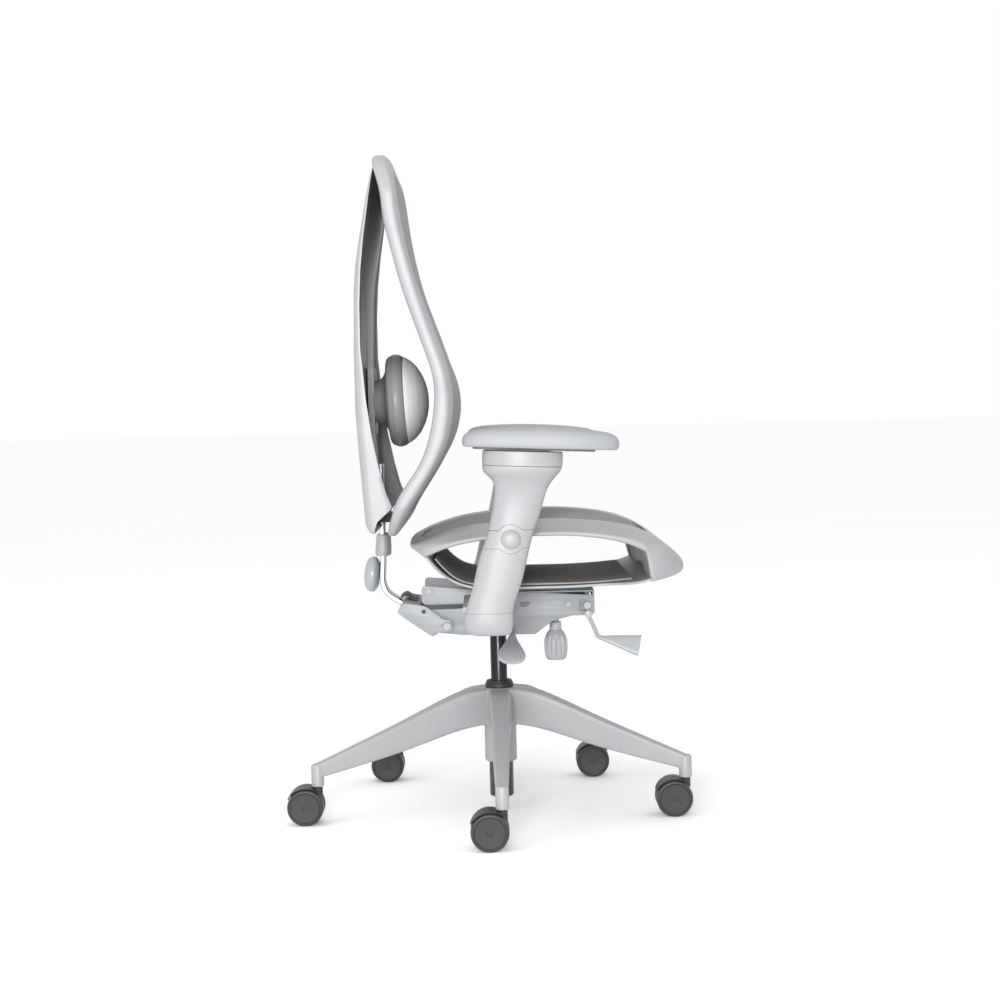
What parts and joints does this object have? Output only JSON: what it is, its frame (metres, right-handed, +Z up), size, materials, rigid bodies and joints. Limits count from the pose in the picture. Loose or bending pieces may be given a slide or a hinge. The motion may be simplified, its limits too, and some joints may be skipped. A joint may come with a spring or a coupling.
{
  "type": "swivel office chair",
  "caption": "Swivel office chair with a bowed framed back, a leaf-shaped open-sided seat, height-adjustable arms, a lumbar pad and a star base on twin-wheel casters.",
  "frame": {"origin": "where the lift column's axis meets the floor", "axes": "+Z up; the sitter faces -Y; +X is the sitter's left"},
  "size_m": [0.704, 0.6703, 1.086],
  "materials": {
    "light_plastic": "fine satin texture",
    "lever_plastic": "satin",
    "grey_steel": "powder coat",
    "bright_steel": "zinc plated",
    "black_steel": "black satin",
    "black_plastic": "fine grain",
    "charcoal_plastic": "satin",
    "pan_liner": "felted",
    "seat_knit": "open knit",
    "back_knit": "open knit",
    "lumbar_foam": "soft skinned foam",
    "arm_foam": "soft skinned foam"
  },
  "bodies": {
    "base": {"base_star": "light_plastic", "gas_outer_tube": "black_steel", "column_collar": "black_plastic"},
    "column": {"gas_cylinder": "black_steel"},
    "valve": {"valve_button": "bright_steel"},
    "chassis": {"lower_housing": "grey_steel", "front_pin": "bright_steel", "back_pin": "bright_steel", "torsion_spring": "bright_steel"},
    "tension": {"tension_knob": "lever_plastic"},
    "lift_lever": {"height_lever": "lever_plastic"},
    "carrier": {"upper_housing": "grey_steel", "seat_rails": "black_steel", "housing_bolts": "bright_steel", "arm_crossbar": "grey_steel", "arm_lower_sleeve_right": "light_plastic", "arm_lower_sleeve_left": "light_plastic"},
    "slide_lever": {"seat_lever": "lever_plastic"},
    "seat": {"slider_plate": "grey_steel", "seat_frame": "light_plastic", "seat_pan": "pan_liner", "seat_fabric": "seat_knit"},
    "back_arm": {"back_bracket": "grey_steel", "back_bar": "grey_steel", "bar_bumper": "black_plastic", "bar_sleeve": "light_plastic"},
    "height_knob": {"back_knob": "lever_plastic"},
    "backrest": {"back_carrier": "light_plastic", "height_ratchet": "black_plastic", "rear_shell": "light_plastic", "front_frame": "light_plastic", "back_fabric": "back_knit"},
    "lumbar": {"lumbar_slider": "light_plastic", "lumbar_shell": "light_plastic", "lumbar_cushion": "lumbar_foam"},
    "arm_right": {"arm_post_right": "black_plastic", "arm_upper_sleeve_right": "light_plastic", "arm_collar_right": "light_plastic", "arm_head_right": "light_plastic"},
    "arm_button_right": {"arm_button_right": "light_plastic"},
    "pad_turn_right": {"arm_pad_plate_right": "black_plastic"},
    "pad_right": {"arm_pad_right": "arm_foam"},
    "arm_left": {"arm_post_left": "black_plastic", "arm_upper_sleeve_left": "light_plastic", "arm_collar_left": "light_plastic", "arm_head_left": "light_plastic"},
    "arm_button_left": {"arm_button_left": "light_plastic"},
    "pad_turn_left": {"arm_pad_plate_left": "black_plastic"},
    "pad_left": {"arm_pad_left": "arm_foam"},
    "caster_1": {"caster_housing_1": "charcoal_plastic"},
    "wheels_1": {"caster_wheels_1": "charcoal_plastic"},
    "caster_2": {"caster_housing_2": "charcoal_plastic"},
    "wheels_2": {"caster_wheels_2": "charcoal_plastic"},
    "caster_3": {"caster_housing_3": "charcoal_plastic"},
    "wheels_3": {"caster_wheels_3": "charcoal_plastic"},
    "caster_4": {"caster_housing_4": "charcoal_plastic"},
    "wheels_4": {"caster_wheels_4": "charcoal_plastic"},
    "caster_5": {"caster_housing_5": "charcoal_plastic"},
    "wheels_5": {"caster_wheels_5": "charcoal_plastic"}
  },
  "joints": [
    {"name": "lift_height", "type": "slide", "parent": "base", "child": "column", "axis": [0, 0, 1], "range_m": [-0.055, 0.065]},
    {"name": "seat_swivel", "type": "hinge", "parent": "column", "child": "chassis", "pos_m": [0, 0, 0.32], "axis": [0, 0, 1], "continuous": true},
    {"name": "valve_press", "type": "slide", "parent": "column", "child": "valve", "axis": [0, 0, -1], "range_m": [0, 0.0025], "stiffness_N_per_m": 1},
    {"name": "tension_knob_turn", "type": "hinge", "parent": "chassis", "child": "tension", "pos_m": [-0.03, -0.097, 0.3], "axis": [0, 0, 1], "continuous": true},
    {"name": "lift_lever_turn", "type": "hinge", "parent": "chassis", "child": "lift_lever", "pos_m": [-0.06, -0.024, 0.3095], "axis": [1, 0, 0], "range_deg": [0, 15], "stiffness_Nm_per_rad": 0.6},
    {"name": "seat_tilt", "type": "hinge", "parent": "chassis", "child": "carrier", "pos_m": [0, -0.149, 0.35], "axis": [-1, 0, 0], "range_deg": [0, 5.2]},
    {"name": "slide_lever_turn", "type": "hinge", "parent": "carrier", "child": "slide_lever", "pos_m": [-0.09, -0.15, 0.3365], "axis": [-1, 0, 0], "range_deg": [0, 15], "stiffness_Nm_per_rad": 0.6},
    {"name": "seat_slide", "type": "slide", "parent": "carrier", "child": "seat", "axis": [0, -1, 0], "range_m": [-0.02, 0.03]},
    {"name": "back_recline", "type": "hinge", "parent": "chassis", "child": "back_arm", "pos_m": [0, 0.084, 0.321], "axis": [-1, 0, 0], "range_deg": [0, 20], "stiffness_Nm_per_rad": 70, "springref_deg": -28.65},
    {"name": "height_knob_turn", "type": "hinge", "parent": "back_arm", "child": "height_knob", "pos_m": [0, 0.1984, 0.402], "axis": [0, 0.9945, 0.1045], "continuous": true},
    {"name": "back_height", "type": "slide", "parent": "back_arm", "child": "backrest", "axis": [0, 0, 1], "range_m": [0, 0.06]},
    {"name": "lumbar_height", "type": "slide", "parent": "backrest", "child": "lumbar", "axis": [0, 0, 1], "range_m": [-0.03, 0.03]},
    {"name": "arm_height_right", "type": "slide", "parent": "carrier", "child": "arm_right", "axis": [0, -0.2756, 0.9613], "range_m": [0, 0.07]},
    {"name": "arm_button_press_right", "type": "slide", "parent": "arm_right", "child": "arm_button_right", "axis": [1, 0, 0], "range_m": [0, 0.003], "stiffness_N_per_m": 600},
    {"name": "pad_swivel_right", "type": "hinge", "parent": "arm_right", "child": "pad_turn_right", "pos_m": [-0.305, -0.0435, 0.584], "axis": [0, -0.0489, 0.9988], "range_deg": [-10, 25]},
    {"name": "pad_slide_right", "type": "slide", "parent": "pad_turn_right", "child": "pad_right", "axis": [0, -0.9988, -0.0489], "range_m": [-0.012, 0.035]},
    {"name": "arm_height_left", "type": "slide", "parent": "carrier", "child": "arm_left", "axis": [0, -0.2756, 0.9613], "range_m": [0, 0.07]},
    {"name": "arm_button_press_left", "type": "slide", "parent": "arm_left", "child": "arm_button_left", "axis": [-1, 0, 0], "range_m": [0, 0.003], "stiffness_N_per_m": 600},
    {"name": "pad_swivel_left", "type": "hinge", "parent": "arm_left", "child": "pad_turn_left", "pos_m": [0.305, -0.0435, 0.584], "axis": [0, -0.0489, 0.9988], "range_deg": [-25, 10]},
    {"name": "pad_slide_left", "type": "slide", "parent": "pad_turn_left", "child": "pad_left", "axis": [0, -0.9988, -0.0489], "range_m": [-0.012, 0.035]},
    {"name": "caster_swivel_1", "type": "hinge", "parent": "base", "child": "caster_1", "pos_m": [-0.32, 0, 0.07], "axis": [0, 0, 1], "continuous": true},
    {"name": "wheel_roll_1", "type": "hinge", "parent": "caster_1", "child": "wheels_1", "pos_m": [-0.32, 0.02, 0.03], "axis": [1, 0, 0], "continuous": true},
    {"name": "caster_swivel_2", "type": "hinge", "parent": "base", "child": "caster_2", "pos_m": [-0.09889, -0.30434, 0.07], "axis": [0, 0, 1], "continuous": true},
    {"name": "wheel_roll_2", "type": "hinge", "parent": "caster_2", "child": "wheels_2", "pos_m": [-0.09889, -0.28434, 0.03], "axis": [1, 0, 0], "continuous": true},
    {"name": "caster_swivel_3", "type": "hinge", "parent": "base", "child": "caster_3", "pos_m": [0.25888, -0.18809, 0.07], "axis": [0, 0, 1], "continuous": true},
    {"name": "wheel_roll_3", "type": "hinge", "parent": "caster_3", "child": "wheels_3", "pos_m": [0.25888, -0.16809, 0.03], "axis": [1, 0, 0], "continuous": true},
    {"name": "caster_swivel_4", "type": "hinge", "parent": "base", "child": "caster_4", "pos_m": [0.25888, 0.18809, 0.07], "axis": [0, 0, 1], "continuous": true},
    {"name": "wheel_roll_4", "type": "hinge", "parent": "caster_4", "child": "wheels_4", "pos_m": [0.25888, 0.20809, 0.03], "axis": [1, 0, 0], "continuous": true},
    {"name": "caster_swivel_5", "type": "hinge", "parent": "base", "child": "caster_5", "pos_m": [-0.09889, 0.30434, 0.07], "axis": [0, 0, 1], "continuous": true},
    {"name": "wheel_roll_5", "type": "hinge", "parent": "caster_5", "child": "wheels_5", "pos_m": [-0.09889, 0.32434, 0.03], "axis": [1, 0, 0], "continuous": true}
  ],
  "couplings": [
    {"joint": "seat_tilt", "follows": "back_recline", "ratio": 0.25},
    {"joint": "valve_press", "follows": "lift_lever_turn", "m_per_rad": 0.0095}
  ]
}
